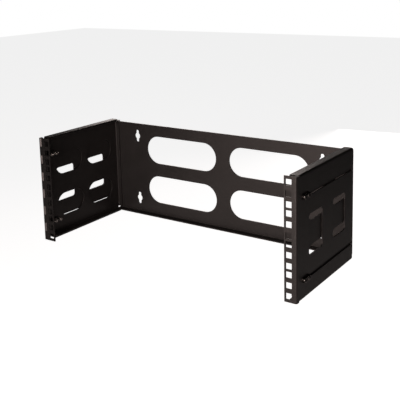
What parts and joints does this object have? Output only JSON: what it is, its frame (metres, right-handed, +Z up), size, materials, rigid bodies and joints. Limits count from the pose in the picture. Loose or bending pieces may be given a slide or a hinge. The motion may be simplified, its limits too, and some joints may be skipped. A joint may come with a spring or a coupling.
{
  "type": "wall mount rack",
  "caption": "Swing-out wall bracket for 19-inch rack equipment, with a vented back panel, sliding side plates, square-hole rails and a hinged left rail.",
  "frame": {"origin": "middle of the back panel's wall face", "axes": "+X to the right seen from the front, +Y into the wall, +Z up"},
  "size_m": [0.5072, 0.203, 0.183],
  "materials": {
    "sheet": "matte black powder coat",
    "hinge": "matte black powder coat",
    "pin": "plain steel",
    "zinc": "dark plated"
  },
  "bodies": {
    "wall_frame": {"back_panel": "sheet", "frame_side_left": "sheet", "frame_side_right": "sheet", "clinch_nut_left_upper": "zinc", "washer_left_upper": "zinc", "screw_left_upper": "zinc", "clinch_nut_left_upper_front": "zinc", "washer_left_upper_front": "zinc", "screw_left_upper_front": "zinc", "clinch_nut_left_lower": "zinc", "washer_left_lower": "zinc", "screw_left_lower": "zinc", "clinch_nut_left_lower_front": "zinc", "washer_left_lower_front": "zinc", "screw_left_lower_front": "zinc", "clinch_nut_right_upper": "zinc", "washer_right_upper": "zinc", "screw_right_upper": "zinc", "clinch_nut_right_upper_front": "zinc", "washer_right_upper_front": "zinc", "screw_right_upper_front": "zinc", "clinch_nut_right_lower": "zinc", "washer_right_lower": "zinc", "screw_right_lower": "zinc", "clinch_nut_right_lower_front": "zinc", "washer_right_lower_front": "zinc", "screw_right_lower_front": "zinc"},
    "right_plate": {"side_plate_right": "sheet"},
    "left_plate": {"side_plate_left": "sheet", "hinge_leaf_fixed": "hinge", "hinge_pin": "pin"},
    "left_rail": {"rack_rail_left": "sheet", "hinge_leaf_moving": "hinge"}
  },
  "joints": [
    {"name": "right_slide", "type": "slide", "parent": "wall_frame", "child": "right_plate", "axis": [0, -1, 0], "range_m": [0, 0.1525]},
    {"name": "left_slide", "type": "slide", "parent": "wall_frame", "child": "left_plate", "axis": [0, -1, 0], "range_m": [0, 0.1525]},
    {"name": "left_rail_hinge", "type": "hinge", "parent": "left_plate", "child": "left_rail", "pos_m": [-0.2438, -0.1995, 0], "axis": [0, 0, -1], "range_deg": [0, 180]}
  ]
}
